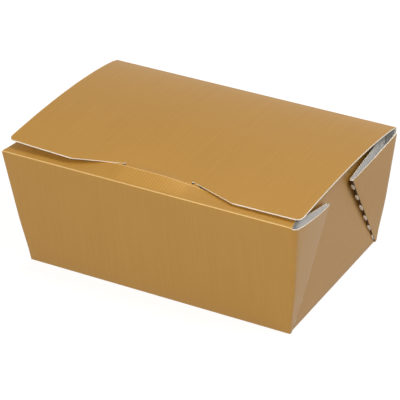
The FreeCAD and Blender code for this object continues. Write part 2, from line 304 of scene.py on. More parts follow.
def blank_column(angle, foot, top):
    """A column's two ends in the flat sheet, as rays from the corner of the base."""
    ray = Vector((math.cos(angle), math.sin(angle), 0))
    return corner_of_base + ray * FOOT_Z, corner_of_base + ray * (top - foot).length


def corner_columns(bend_at_foot=BEND, bend_at_top=BEND, reach=0, drop=0, bulge=MOUTH_BULGE, leaf_bulge=0):
    """Columns of the front right corner: (foot, top, both in the blank, bend of the base, spring)."""
    arcs = [list(zip(turn_arc(i, FOOT_Z), turn_arc(i, TURN_TOPS[i]))) for i in range(5)]
    lowered = [WALL_TOP - drop * share for share in spaced(0, 1, TURN_STEPS)]
    arc_tops = [turn_arc(0, z, bend_at_top)[step] for step, z in enumerate(lowered)]
    arcs[0] = list(zip(turn_arc(0, FOOT_Z, bend_at_foot), arc_tops))
    long_edge = LONG_WALL_FLARE - math.pi / 2
    fold = long_edge + HALF_WEB
    end_edge = fold + HALF_WEB
    angles = [long_edge, fold, fold, end_edge, end_edge]
    columns = []
    for i, arc in enumerate(arcs):
        spring = Vector((FOLD_SPRING if i == 1 else 0, 0, 0))
        for step, (foot, top) in enumerate(arc):
            share = step / (TURN_STEPS - 1)
            bend = NO_PUSH
            if i == 0:
                top.x += reach
                bend = Vector((0, 1 - share, 0))
            if i == 4:
                bend = Vector((-share, 0, 0))
            columns.append((foot, top, *blank_column(angles[i], foot, top), bend, spring))
        if i in (0, 2):
            first, last = arc[-1], arcs[i + 1][0]
            for share in spaced(0, 1, GUSSET_COLUMNS + 2)[1:-1]:
                foot = first[0].lerp(last[0], share)
                top = first[1].lerp(last[1], share)
                if i == 0:
                    push = FOLD_SPRING * share + bulge * math.sin(share * math.pi) ** FULLNESS
                else:
                    push = leaf_bulge * math.sin(share ** LEAF_SKEW * math.pi)
                angle = mix(angles[i], angles[i + 1], share)
                columns.append((foot, top, *blank_column(angle, foot, top), NO_PUSH, Vector((push, 0, 0))))
    return columns


# %% The four corners
def mirrored(columns, sign_x, sign_y):
    """The columns at another corner, still in order anticlockwise from above."""
    def flip(point):
        return Vector((sign_x * point.x, sign_y * point.y, point.z))
    copy = [tuple(flip(point) for point in column) for column in columns]
    return copy if sign_x * sign_y > 0 else copy[::-1]


front_right = corner_columns(bend_at_foot=1.0 * mm, bend_at_top=2.0 * mm, drop=0.7 * mm, leaf_bulge=0.5 * mm)
rear_corner = corner_columns(bend_at_top=1.5 * mm, reach=1.0 * mm, drop=1.3 * mm, bulge=0.3 * mm,
                             leaf_bulge=0.8 * mm)
rear_right = mirrored(rear_corner, 1, -1)
rear_left = mirrored(front_right, -1, -1)
front_left = mirrored(corner_columns(reach=1.0 * mm), -1, 1)
print("each corner has", len(front_right), "columns of points")

# %% [markdown]
# ## The walls and the base
#
# The four corners and the four walls between them make one closed band of columns. Separate walls would
# need their edges matched by hand, and a band can't come apart. Its lowest rows curl under the walls in a
# small arc, the crease of the base, and the base itself is one face inside the lowest row. The rows crowd
# together towards the top, where the card bends most.

# %% The band of walls
LONG_COLUMNS = 37
END_COLUMNS = 17
WALL_ROWS = 14
ROW_CROWDING = 1.4
SPRING_POWER = 3
BEND_STEPS = 4


def panel_columns(start, stop, count, bend):
    """Columns of a flat wall between two corner columns, without those two."""
    columns = []
    for share in spaced(0, 1, count)[1:-1]:
        columns.append((*(start[i].lerp(stop[i], share) for i in range(4)), bend, NO_PUSH))
    return columns


front_wall = panel_columns(front_left[-1], front_right[0], LONG_COLUMNS, Vector((0, 1, 0)))
right_wall = panel_columns(front_right[-1], rear_right[0], END_COLUMNS, Vector((-1, 0, 0)))
rear_wall = panel_columns(rear_right[-1], rear_left[0], LONG_COLUMNS, Vector((0, -1, 0)))
left_wall = panel_columns(rear_left[-1], front_left[0], END_COLUMNS, Vector((1, 0, 0)))
band = front_right + right_wall + rear_right + rear_wall + rear_left + left_wall + front_left + front_wall


def column_point(column, height, inset):
    """A point of a column at a height above its foot, pushed inwards by the bend of the base."""
    foot, top, flat_foot, flat_top, bend, spring = column
    share = height / (top.z - foot.z)
    place = foot.lerp(top, share) + bend * inset + spring * share ** SPRING_POWER
    return place, flat_foot.lerp(flat_top, share)


def band_rows():
    """Rows of the whole band: first round the crease of the base, then up the walls."""
    crease = [(step / BEND_STEPS * math.pi / 2, 0) for step in range(BEND_STEPS)]
    walls = [(math.pi / 2, 1 - (1 - even) ** ROW_CROWDING) for even in spaced(0, 1, WALL_ROWS)]
    rows, blank = [], []
    for angle, share in crease + walls:
        places = []
        for column in band:
            curl = BEND * column[4].length * (1 - math.cos(angle))
            height = mix(curl, column[1].z - column[0].z, share)
            places.append(column_point(column, height, BEND * (1 - math.sin(angle))))
        rows.append([place[0] for place in places])
        blank.append([place[1] for place in places])
    return rows, blank


print("the band has", len(band), "columns")

# %% The sheet of walls and base
sheet = bmesh.new()
rows, blank = band_rows()
closed_rows = [row + row[:1] for row in rows]
closed_blank = [row + row[:1] for row in blank]
lowest = add_grid(sheet, closed_rows, closed_blank)[0]
base_ring = [vert.co.copy() for vert in lowest[:-1]]
bmesh.ops.remove_doubles(sheet, verts=sheet.verts, dist=WELD)
ring = []
for point in base_ring:
    vert = min(sheet.verts, key=lambda candidate: (candidate.co - point).length_squared)
    if vert not in ring:
        ring.append(vert)
sheet.faces.new(ring[::-1])
print("the tray's sheet has", len(sheet.faces), "faces")

# %% [markdown]
# ## The flaps
#
# Three flaps carry on from the walls: the front flap, which the lid tucks under, and a dust flap at each
# end, which the lid hides. Each starts with a quarter turn of card and shares its first row with the wall,
# so it grows out of the same sheet. The front flap is pushed up into a low crown, a little to the left of
# its middle, where the lid's tongue lies under it. The faces on its crease and its rim get a paler gold of
# their own, a painted highlight of the light that catches them there.

# %% The front flap
FLAP_START_Y = CREASE_RADIUS - half_width(WALL_TOP)
FLAP_EDGE_Y = -TOP_WIDTH / 2 + 9.8 * mm
FLAP_TAPER = 2.0 * mm
FLAP_CORNER = 1.5 * mm
FLAP_RISE = 0.45 * mm
FLAP_CROWN = 1.9 * mm
FLAP_CROWN_X = -7.0 * mm
FLAP_CROWN_HALF_WIDTH = 25.0 * mm
FLAP_ROWS = 12
FLAP_RIM = 0.2 * mm


def flap_height(x, y):
    """The top of the front flap; it rises to its rim, most in the crown."""
    crown = FLAP_CROWN * math.exp(-((x - FLAP_CROWN_X) / FLAP_CROWN_HALF_WIDTH) ** 4)
    return HEIGHT + (FLAP_RISE + crown) * (y - FLAP_START_Y) / (FLAP_EDGE_Y - FLAP_START_Y)


def corner_pull(distance, radius):
    """How far a rounded corner draws the side in, at a distance from the end of the panel."""
    if distance >= radius:
        return 0
    return radius - math.sqrt(radius ** 2 - (radius - distance) ** 2)


def quarter_turn(wall, outward):
    """Rows that turn the top of a wall inwards; outward is the way that the wall faces."""
    rows, blank = [], []
    for step in range(BEND_STEPS + 1):
        angle = step / BEND_STEPS * math.pi / 2
        shift = Vector((0, 0, BEND * math.sin(angle))) - outward * (BEND * (1 - math.cos(angle)))
        rows.append([column[1] + shift for column in wall])
        blank.append([column[3] + outward * (BEND * angle) for column in wall])
    return rows, blank


def front_flap_rows():
    """Rows of the front flap: its crease, then its top, out to its rounded rim."""
    root = [front_left[-1]] + front_wall + [front_right[0]]
    half = root[-1][1].x
    rows, blank = quarter_turn(root, Vector((0, -1, 0)))
    depth = FLAP_EDGE_Y - FLAP_START_Y
    shares = [(1 - FLAP_RIM / depth) * math.sin(i / FLAP_ROWS * math.pi / 2) for i in range(1, FLAP_ROWS + 1)]
    for share in shares + [1]:
        y = FLAP_START_Y + depth * share
        limit = half - FLAP_TAPER * share - corner_pull(depth * (1 - share), FLAP_CORNER)
        row, flat_row = [], []
        for column in root:
            x = column[1].x / half * limit
            row.append(Vector((x, y, flap_height(x, y) - CARD / 2)))
            flat_row.append(Vector((x, blank[BEND_STEPS][0].y - depth * share, 0)))
        rows.append(row)
        blank.append(flat_row)
    return rows, blank


print("the front flap rises", round(1000 * (FLAP_RISE + FLAP_CROWN), 1), "mm at its crown")

# %% The front flap's painted highlights
GOLD_FACE, EDGE_FACE, FOLD_SHADE_FACE, HIGHLIGHT_FACE = 0, 2, 3, 4


def paint_highlight(grid_rows, bottom, top):
    """Gives the faces between two rows of a grid the paler gold of the painted highlight."""
    highlight_verts = {vert for row in grid_rows[bottom:top + 1] for vert in row}
    for vert in highlight_verts:
        for face in vert.link_faces:
            if highlight_verts.issuperset(face.verts):
                face.material_index = HIGHLIGHT_FACE


flap_grid = add_grid(sheet, *front_flap_rows())
# The crease and the rim of the front flap get a painted highlight, a paler gold in their faces.
paint_highlight(flap_grid, 1, BEND_STEPS - 1)
paint_highlight(flap_grid, len(flap_grid) - 2, len(flap_grid) - 1)
print("the front flap reaches", round(1000 * (FLAP_EDGE_Y - FLAP_START_Y), 1), "mm back")

# %% The dust flaps
DUST_FLAP_DEPTH = 25.0 * mm
DUST_FLAP_TAPER = 9.0 * mm
DUST_FLAP_CORNER = 8.0 * mm
DUST_ROWS = 10


def dust_flap_rows(side, wall):
    """Rows of the dust flap at one end; side is 1 at the right."""
    half = abs(wall[0][1].y)
    rows, blank = quarter_turn(wall, Vector((side, 0, 0)))
    for i in range(1, DUST_ROWS + 1):
        share = math.sin(i / DUST_ROWS * math.pi / 2)
        reach = (DUST_FLAP_DEPTH - CREASE_RADIUS) * share
        pull = corner_pull((DUST_FLAP_DEPTH - CREASE_RADIUS) * (1 - share), DUST_FLAP_CORNER)
        limit = half - DUST_FLAP_TAPER * share - pull
        row, flat_row = [], []
        for column, above, flat in zip(wall, rows[BEND_STEPS], blank[BEND_STEPS]):
            y = column[1].y / half * limit
            row.append(Vector((above.x - side * reach, y, above.z)))
            flat_row.append(Vector((flat.x + side * reach, y, 0)))
        rows.append(row)
        blank.append(flat_row)
    return rows, blank


for side, wall in ((1, right_wall), (-1, left_wall)):
    add_grid(sheet, *dust_flap_rows(side, wall))
print("two dust flaps,", round(1000 * DUST_FLAP_DEPTH), "mm deep")

# %% [markdown]
# ## The card's finishes
#
# Every piece shows three finishes: the satin gold coating outside, plain white board inside, and the soft
# cream line of its cut edge. The coating is printed metal on fibre. A painted texture would have to match
# across every fold, so it is made from noise: a rough, slightly metallic surface whose colour drifts over
# the sheet, with faint roller streaks along the blank and fine fibres that break up its sheen. Shallow
# ribs show best on the middle of the front flap, where the tongue lifts the card to the light, and their
# crests are painted a little lighter as a painted highlight. The coating also comes in two painted
# copies: a paler gold, a painted highlight on the front flap's crease and rim, and a near-black gold,
# painted shade on the gussets' folds.

# %% Helper: a material and its nodes
def new_material(name, colour, metallic, roughness):
    material = bpy.data.materials.new(name)
    material.use_nodes = True
    shader = material.node_tree.nodes["Principled BSDF"]
    shader.inputs["Base Color"].default_value = (*colour, 1)
    shader.inputs["Metallic"].default_value = metallic
    shader.inputs["Roughness"].default_value = roughness
    return material, material.node_tree, shader


def add_node(tree, kind, **values):
    """A node with its settings; a name that is an input is set there, or linked to a socket."""
    node = tree.nodes.new(kind)
    for name, value in values.items():
        socket = name.replace("_", " ").title()
        if socket not in node.inputs:
            setattr(node, name, value)
        elif isinstance(value, bpy.types.NodeSocket):
            tree.links.new(value, node.inputs[socket])
        else:
            node.inputs[socket].default_value = value
    return node


def noise_on(tree, vector, scale, detail, roughness=0.5):
    """Noise at a scale given as bumps per metre."""
    return add_node(tree, "ShaderNodeTexNoise", vector=vector, scale=scale, detail=detail,
                    roughness=roughness).outputs["Fac"]


def remap(tree, value, low, high):
    """A value from 0 to 1 stretched to run from low to high."""
    return add_node(tree, "ShaderNodeMapRange", value=value, to_min=low, to_max=high).outputs["Result"]


def blend_colours(tree, share, first, second):
    """From the first colour at 0 to the second at 1; each is a tuple or a socket."""
    node = add_node(tree, "ShaderNodeMix", data_type="RGBA")
    tree.links.new(share, node.inputs[0])
    for socket, colour in ((node.inputs[6], first), (node.inputs[7], second)):
        if isinstance(colour, tuple):
            socket.default_value = (*colour, 1)
        else:
            tree.links.new(colour, socket)
    return node.outputs[2]


def bump(tree, height, strength, distance, **below):
    """A fine relief; normal can be another one to lay it over."""
    node = add_node(tree, "ShaderNodeBump", height=height, strength=strength, distance=distance, **below)
    return node.outputs["Normal"]


# %% Helper: sums in a material
def math_node(tree, operation, first, second=None):
    """A sum with one or two values, each a number or a socket."""
    node = add_node(tree, "ShaderNodeMath", operation=operation)
    for socket, value in zip(node.inputs, (first, second)):
        if isinstance(value, (int, float)):
            socket.default_value = value
        elif value is not None:
            tree.links.new(value, socket)
    return node.outputs[0]


def smooth_step(tree, value, start, stop):
    """0 up to start and 1 from stop, eased between them."""
    return add_node(tree, "ShaderNodeMapRange", interpolation_type="SMOOTHSTEP", value=value,
                    from_min=start, from_max=stop).outputs["Result"]


# %% Ribs and streaks in the coating
RIB_PITCH = 1.4 * mm
RIBBED_HALF_WIDTH = 17 * mm
RIBBED_FADE = 3 * mm
RIBBED_START = 1 * mm
STREAK_SCALE = (900, 22, 1)
# A wave texture of scale 1 has this many waves to the metre.
WAVES_PER_SCALE = 3.1831


def ribbed_share(tree, sheet_place):
    """1 on the middle of the front flap, where the ribs are pressed in deepest, and 0 elsewhere."""
    parts = add_node(tree, "ShaderNodeSeparateXYZ", vector=sheet_place)
    sideways = math_node(tree, "ABSOLUTE", parts.outputs["X"])
    outside = smooth_step(tree, sideways, RIBBED_HALF_WIDTH - RIBBED_FADE, RIBBED_HALF_WIDTH)
    inside = math_node(tree, "SUBTRACT", 1, outside)
    forwards = math_node(tree, "MULTIPLY", parts.outputs["Y"], -1)
    on_flap = smooth_step(tree, forwards, LONG_CREASE, LONG_CREASE + RIBBED_START)
    return math_node(tree, "MULTIPLY", inside, on_flap)


def streaks_on(tree, sheet_place):
    """Long thin marks of the rollers, all running one way through the blank."""
    stretch = add_node(tree, "ShaderNodeMapping", vector=sheet_place, scale=STREAK_SCALE)
    return noise_on(tree, stretch.outputs["Vector"], 1, 3, 0.6)


def ribs_on(tree, sheet_place):
    """Fine waves across the blank, one to each rib."""
    ribs = add_node(tree, "ShaderNodeTexWave", wave_type="BANDS", bands_direction="X", vector=sheet_place,
                    scale=1 / RIB_PITCH / WAVES_PER_SCALE)
    return ribs.outputs["Fac"]


print("ribs every", round(1000 * RIB_PITCH, 1), "mm on the middle of the flap")

# %% Gold coating
GOLD, GOLD_DEEP = (0.520, 0.267, 0.047), (0.485, 0.243, 0.038)
# A near-black gold for the tight turns of the gussets' folds: painted shade in place of the shadow in the gap
# beside the end wall. Its plain reflection is weak too, so the shade stays dark.
FOLD_SHADE_TONE, FOLD_SHADE_TONE_DEEP = (0.08, 0.038, 0.007), (0.06, 0.028, 0.005)
# A paler gold for the front flap's crease and rim: a painted highlight.
HIGHLIGHT_TONE, HIGHLIGHT_TONE_DEEP = (0.84, 0.56, 0.22), (0.76, 0.50, 0.19)
SHINE, FOLD_SHADE_SHINE = 0.5, 0.1
METAL, ROUGHNESS = 0.22, 0.42
GLOSS, GLOSS_ROUGHNESS = 0.04, 0.35
DRIFT_SCALE, DRIFT_RANGE = 28, (-0.3, 0.7)
STREAK_RANGE = (-0.9, 1.4)
FIBRE_SCALE, FIBRE_ROUGHNESS = 2600, (0.36, 0.5)
# Rib crests are painted this much lighter than the coating: a painted highlight.
RIB_HIGHLIGHT, FLAT_RIBS = 1.12, 0.08
RELIEF, FIBRE_RELIEF, RIB_RELIEF = 0.05 * mm, 0.12, 0.35


def gold_coating(name, light, deep, shine=SHINE):
    """The coating in a light and a deep tone; shine is the strength of its plain reflection."""
    material, tree, shader = new_material(name, light, METAL, ROUGHNESS)
    shader.inputs["Specular IOR Level"].default_value = shine
    shader.inputs["Coat Weight"].default_value = GLOSS
    shader.inputs["Coat Roughness"].default_value = GLOSS_ROUGHNESS
    place = add_node(tree, "ShaderNodeTexCoord").outputs["Object"]
    sheet_place = add_node(tree, "ShaderNodeUVMap", uv_map="blank").outputs["UV"]
    drift = remap(tree, noise_on(tree, place, DRIFT_SCALE, 3), *DRIFT_RANGE)
    streaks = remap(tree, streaks_on(tree, sheet_place), *STREAK_RANGE)
    colour = blend_colours(tree, math_node(tree, "ADD", drift, streaks), light, deep)
    pressed = remap(tree, ribbed_share(tree, sheet_place), FLAT_RIBS, 1)
    # The ribs are a real relief through the bump below, and their crests are also painted lighter: a painted
    # highlight.
    rib_relief_and_highlight = math_node(tree, "MULTIPLY", ribs_on(tree, sheet_place), pressed)
    colour = blend_colours(tree, rib_relief_and_highlight, colour, tuple(channel * RIB_HIGHLIGHT for channel in light))
    tree.links.new(colour, shader.inputs["Base Color"])
    fibre = noise_on(tree, place, FIBRE_SCALE, 4, 0.6)
    tree.links.new(remap(tree, fibre, *FIBRE_ROUGHNESS), shader.inputs["Roughness"])
    fine = bump(tree, fibre, FIBRE_RELIEF, RELIEF)
    tree.links.new(bump(tree, rib_relief_and_highlight, RIB_RELIEF, RELIEF, normal=fine), shader.inputs["Normal"])
    return material


gold = gold_coating("gold_coating", GOLD, GOLD_DEEP)
# Two painted copies of the coating: near-black painted shade for the gussets' folds, and a paler gold as a
# painted highlight on the front flap's crease and rim.
fold_shade_gold = gold_coating("fold_shade_gold", FOLD_SHADE_TONE, FOLD_SHADE_TONE_DEEP, FOLD_SHADE_SHINE)
highlight_gold = gold_coating("highlight_gold", HIGHLIGHT_TONE, HIGHLIGHT_TONE_DEEP)
print("three states of the coating:", gold.name, fold_shade_gold.name, highlight_gold.name)

# %% White board and cut edge
def bare_card(name, colour, roughness, scale, detail, shades, relief):
    """Uncoated card: fibres that vary its colour between two shades and raise its surface a little."""
    material, tree, shader = new_material(name, colour, 0, roughness)
    place = add_node(tree, "ShaderNodeTexCoord").outputs["Object"]
    fibre = noise_on(tree, place, scale, *detail)
    tree.links.new(blend_colours(tree, fibre, *shades), shader.inputs["Base Color"])
    tree.links.new(bump(tree, fibre, *relief), shader.inputs["Normal"])
    return material


board = bare_card("white_board", (0.93, 0.92, 0.90), roughness=0.7, scale=900, detail=(5, 0.65),
                  shades=((0.91, 0.90, 0.875), (0.95, 0.94, 0.925)), relief=(0.25, 0.05 * mm))
edge = bare_card("cut_edge", (0.96, 0.86, 0.71), roughness=0.8, scale=3000, detail=(4, 0.7),
                 shades=((0.94, 0.82, 0.65), (0.98, 0.91, 0.79)), relief=(0.4, 0.06 * mm))
finishes = [gold, board, edge]
print("bare card:", board.name, "and", edge.name)

# %% [markdown]
# ### Thickness
#
# Solidify gives the sheet its thickness and its three sides their own finish: the material slot after a
# face's own goes to the inside, and the second after it to the cut rim. The painted shade of the folds and
# the painted highlight of the front flap are two more slots. Board and edge follow the highlight slot again,
# so that a face with the painted highlight also gets a white inside and a pale rim.

# %% The carton's card
carton = thickened("carton_sheet", sheet, finishes + [fold_shade_gold, highlight_gold, board, edge])
print("the carton has", len(carton.data.polygons), "faces")

# %% [markdown]
# ## The cut-crease along each fold
#
# Card folded back on itself would crack, so the die cuts right through every few millimetres along the
# fold and leaves short bridges between the cuts. When the web folds flat, each cut opens and its white
# lips bulge out. Gaps in such thin card would be lost in shadow, and what the eye sees is the bulging
# board, so each cut is a rounded lip joined to the card. A repeated shape along a line is what Geometry
# Nodes are for: a line is resampled to as many points as there are cuts, and a stretched ball is set on
# each.

# %% The tree that sets lips along the folds
CUT_COUNT = 6
CUT_LENGTH = 4.6 * mm
CUT_PITCH = 9.35 * mm
FIRST_CUT = 4.9 * mm
LIP_SEGMENTS, LIP_RINGS = 12, 8


def cut_tree():
    """Along each fold line, a stretched ball at each cut, with its length along the line."""
    tree = bpy.data.node_groups.new("cuts_along_folds", "GeometryNodeTree")
    for name, kind in (("Fold lines", "Geometry"), ("Cuts per fold", "Int"), ("Lip size", "Vector"),
                       ("Finish", "Material")):
        tree.interface.new_socket(name, in_out="INPUT", socket_type="NodeSocket" + kind)
    tree.interface.new_socket("Lips", in_out="OUTPUT", socket_type="NodeSocketGeometry")
    given = tree.nodes.new("NodeGroupInput")
    result = tree.nodes.new("NodeGroupOutput")
    line = tree.nodes.new("GeometryNodeMeshToCurve")
    points = tree.nodes.new("GeometryNodeResampleCurve")
    # The ball is a metre across, so a lip's scale is its size.
    ball = add_node(tree, "GeometryNodeMeshUVSphere", radius=0.5, segments=LIP_SEGMENTS, rings=LIP_RINGS)
    tangent = tree.nodes.new("GeometryNodeInputTangent")
    along = add_node(tree, "FunctionNodeAlignRotationToVector", axis="Z")
    across = add_node(tree, "FunctionNodeAlignRotationToVector", axis="X", pivot_axis="Z", vector=(1, 0, 0))
    set_lips = tree.nodes.new("GeometryNodeInstanceOnPoints")
    real = tree.nodes.new("GeometryNodeRealizeInstances")
    finish = tree.nodes.new("GeometryNodeSetMaterial")
    link = tree.links.new
    link(given.outputs["Fold lines"], line.inputs["Mesh"])
    link(line.outputs["Curve"], points.inputs["Curve"])
    link(given.outputs["Cuts per fold"], points.inputs["Count"])
    link(given.outputs["Lip size"], set_lips.inputs["Scale"])
    link(tangent.outputs["Tangent"], along.inputs["Vector"])
    link(along.outputs["Rotation"], across.inputs["Rotation"])
    link(points.outputs["Curve"], set_lips.inputs["Points"])
    link(ball.outputs["Mesh"], set_lips.inputs["Instance"])
    link(across.outputs["Rotation"], set_lips.inputs["Rotation"])
    link(set_lips.outputs["Instances"], real.inputs["Geometry"])
    link(real.outputs["Geometry"], finish.inputs["Geometry"])
    link(given.outputs["Finish"], finish.inputs["Material"])
    link(finish.outputs["Geometry"], result.inputs["Lips"])
    return tree


def set_inputs(modifier, values):
    """Sets a Geometry Nodes modifier's inputs by the names that its tree gives them."""
    for item in modifier.node_group.interface.items_tree:
        if item.item_type == "SOCKET" and item.in_out == "INPUT" and item.name in values:
            modifier[item.identifier] = values[item.name]


print("cuts of", round(1000 * CUT_LENGTH, 1), "mm, every", round(1000 * CUT_PITCH, 1), "mm")

# %% The fold lines and their lips
LIP_DEPTH = 0.8 * mm
LIP_ROOT = 0.12 * mm
FRONT_LIP_WIDTH, REAR_LIP_WIDTH = 1.3 * mm, 1.8 * mm
FRONT_LIP_SHIFT, REAR_LIP_SHIFT = 0.3 * mm, 0.1 * mm


def fold_point(distance, sign_x, sign_y, shift):
    """The middle of a lip, at a distance up the fold, with only its root in the card."""
    foot = Vector((0, -fold_y(0), 0))
    along = (Vector((0, -FOLD_TOP_Y, FOLD_TOP_Z)) - foot).normalized()
    point = foot + along * distance
    opened = FOLD_SPRING * (point.z / FOLD_TOP_Z) ** SPRING_POWER
    x = end_wall_x(point.z) + 1.5 * gap(point.z) + CARD + proud(point.z) + opened / 2 - shift
    y = point.y + LIP_DEPTH / 2 - LIP_ROOT
    return Vector((sign_x * x, sign_y * y, point.z))


def fold_lips(tree, corners, width, shift):
    """The lips along the folds of some corners, as one mesh."""
    last_cut = FIRST_CUT + (CUT_COUNT - 1) * CUT_PITCH
    ends = [fold_point(distance, *corner, shift) for corner in corners for distance in (FIRST_CUT, last_cut)]
    fold_lines = bpy.data.meshes.new("fold_lines")
    fold_lines.from_pydata(ends, [(2 * i, 2 * i + 1) for i in range(len(corners))], [])
    piece = new_object("fold_cuts", fold_lines)
    nodes = piece.modifiers.new("lips", "NODES")
    nodes.node_group = tree
    size = (width, LIP_DEPTH, CUT_LENGTH)
    set_inputs(nodes, {"Cuts per fold": CUT_COUNT, "Lip size": size, "Finish": edge})
    mesh = applied(piece).data
    bpy.data.objects.remove(piece)
    print(CUT_COUNT * len(corners), "lips", round(1000 * width, 1), "mm wide")
    return mesh


def join_or_cut(piece, mesh, operation):
    """Joins a closed mesh to the piece or cuts it out; its faces keep the mesh's own material."""
    other = new_object("other", mesh)
    both = piece.modifiers.new("both", "BOOLEAN")
    both.operation = operation
    both.solver = "EXACT"
    both.material_mode = "TRANSFER"
    both.object = other
    applied(piece)
    bpy.data.objects.remove(other)


# %% Lips onto the folds
fold_tree = cut_tree()
for sign_y, width, shift in ((1, FRONT_LIP_WIDTH, FRONT_LIP_SHIFT), (-1, REAR_LIP_WIDTH, REAR_LIP_SHIFT)):
    join_or_cut(carton, fold_lips(fold_tree, [(1, sign_y), (-1, sign_y)], width, shift), "UNION")
print("the carton with its lips has", len(carton.data.polygons), "faces")

# %% [markdown]
# ### Pressed feet and painted shade on the folds
#
# At its foot a gusset has hardly any web left, and the press that folds the box squeezes its leaves flat
# against the end wall. The mesh is built with full leaves all the way down, which is easy to weld, so the
# lowest part is now pressed towards the end wall, less and less with the height. The tight turn of each
# fold lies in shade, in the gap beside the end wall, and that shade is painted onto the faces there as a
# near-black gold.

# %% The pressed feet
PRESSED_HEIGHT = 24 * mm
PRESSED = 0.25
TIP_DEPTH = 0.3 * mm


def on_fold(place):
    """Whether a point lies on the tight turn of a gusset's fold."""
    at_tip = abs(place.y) < fold_y(place.z) + TIP_DEPTH
    return at_tip and abs(place.x) > end_wall_x(place.z) + gap(place.z) / 2 and place.z < FOLD_TOP_Z


for vert in carton.data.vertices:
    end = end_wall_x(max(0, vert.co.z))
    beyond = abs(vert.co.x) - end
    if vert.co.z < PRESSED_HEIGHT and beyond > 0:
        kept = mix(PRESSED, 1, math.sin(max(0, vert.co.z) / PRESSED_HEIGHT * math.pi / 2))
        vert.co.x = math.copysign(end + beyond * kept, vert.co.x)
    vert.co.z = max(0, vert.co.z)
# The faces on the tight turn of each fold take painted shade, the near-black gold.
shaded = [face for face in carton.data.polygons if face.material_index == GOLD_FACE and on_fold(face.center)]
for face in shaded:
    face.material_index = FOLD_SHADE_FACE
soften(carton)
print(len(shaded), "faces of the folds have cracked coating")

# %% [markdown]
# ## The lid
#
# The lid carries on from the rear crease. It never lies flat: the crease holds it down at the back, its
# tongue is pulled under the front flap in the middle, and in between the card arches up and its free front
# corners spring clear, the left one more than the right. A cloth simulation would find some such shape,
# but not this one. Three simple formulas add up to it and can be tuned one at a time: an arch from back to
# front that peaks nearer the back, a lift that grows towards the front corners, and a dip at the tongue.

# %% The lid's surface
LID_LENGTH = 143.8 * mm
LID_FRONT_Y = lid_low.y
HINGE_RADIUS = 0.45 * mm
HINGE_Y = TOP_WIDTH / 2 - HINGE_RADIUS
HINGE_Z = HEIGHT - HINGE_RADIUS
BOW_LEFT, BOW_RIGHT = 3.0 * mm, 2.9 * mm
BOW_SKEW = 0.8
LIFT_LEFT, LIFT_MIDDLE, LIFT_RIGHT = 4.1 * mm, 1.8 * mm, 1.9 * mm
DIP = 1.9 * mm
DIP_HALF_WIDTH = 20.0 * mm


def lid_height(x, y):
    """The top of the lid at a place."""
    across = 2 * x / LID_LENGTH
    ahead = (HINGE_Y - y) / (HINGE_Y - LID_FRONT_Y)
    tilt = (LIFT_RIGHT - LIFT_LEFT) / 2
    curl = (LIFT_RIGHT + LIFT_LEFT) / 2 - LIFT_MIDDLE
    lift = LIFT_MIDDLE + tilt * across + curl * across ** 2
    bow = (BOW_LEFT + BOW_RIGHT) / 2 + (BOW_RIGHT - BOW_LEFT) / 2 * across
    dip = DIP * math.exp(-(x / DIP_HALF_WIDTH) ** 2) * ahead ** 4
    arch = ahead ** BOW_SKEW
    return HEIGHT + lift * ahead + 4 * bow * arch * (1 - arch) - dip


print("the lid arches", round(1000 * (lid_height(0, 0) - HEIGHT), 1), "mm above the rim in its middle")

# %% [markdown]
# ### The tongue and the shoulders
#
# Two slanted slits part the lid's front into a tongue, which goes under the front flap, and two shoulders,
# which lie on top of it. Three pieces could be fitted to the panel, but all three parts simply carry on
# from its last row, so the slits open by themselves as the tongue goes down. A narrow strip along the
# lid's sides and the shoulders' front edges has the finish of bare card, because the die tears the coating
# there and it shows as a pale line.

# %% The tongue and its slits
SLIT_MOUTH = 39.8 * mm
SLIT_END = 17.2 * mm
SLIT_END_Y = -TOP_WIDTH / 2 + 11.8 * mm
SLIT_KERF = 0.3 * mm
SLIT_OPENING = 1 * mm
SHOULDER = 0.4 * mm
LID_CORNER = 3.0 * mm
TONGUE_CLEARANCE = 0.12 * mm


def tongue_height(x, y):
    """The top of the tongue, which eases down from the lid until it is under the flap."""
    under = flap_height(x, y) - CARD - TONGUE_CLEARANCE
    share = min(1, (SLIT_END_Y - y) / (SLIT_END_Y - FLAP_EDGE_Y))
    ease = share * share * (3 - 2 * share)
    return mix(lid_height(x, y), under, ease)


def slit_x(y):
    """How far out the right slit is at a place."""
    share = (SLIT_END_Y - y) / (SLIT_END_Y - LID_FRONT_Y)
    return mix(SLIT_END, SLIT_MOUTH, share)


def lid_rows(y_values, x_values_at, height):
    """Rows of lid points; x_values_at gives a row's x places."""
    rows, blank = [], []
    for y in y_values:
        xs = x_values_at(y)
        rows.append([Vector((x, y, height(x, y) - CARD / 2)) for x in xs])
        blank.append([Vector((x, LONG_CREASE + HINGE_Y - y, 0)) for x in xs])
    return rows, blank


print("the tongue widens from", round(2000 * SLIT_END), "to", round(2000 * SLIT_MOUTH), "mm")

# %% Columns of the lid
TONGUE_COUNT, SHOULDER_COUNT = 11, 19
EDGE_RIM = 0.22 * mm
half_lid = LID_LENGTH / 2
tongue_root = spaced(-SLIT_END, SLIT_END, TONGUE_COUNT)
right_part = spaced(SLIT_END, half_lid - EDGE_RIM, SHOULDER_COUNT - 1) + [half_lid]
lid_places = [-x for x in reversed(right_part)] + tongue_root[1:-1] + right_part


def shoulder_columns(y):
    """Places across the right shoulder, from the slit to the lid's side."""
    ahead = y - LID_FRONT_Y
    inner = slit_x(y) + corner_pull(ahead, SHOULDER)
    outer = half_lid - corner_pull(ahead, LID_CORNER)
    return spaced(inner, outer - EDGE_RIM, SHOULDER_COUNT - 1) + [outer]


def tongue_columns(y):
    """Places across the tongue, which is a little narrower than its opening."""
    half = slit_x(y) - SLIT_KERF * min(1, (SLIT_END_Y - y) / SLIT_OPENING)
    return [x / SLIT_END * half for x in tongue_root]


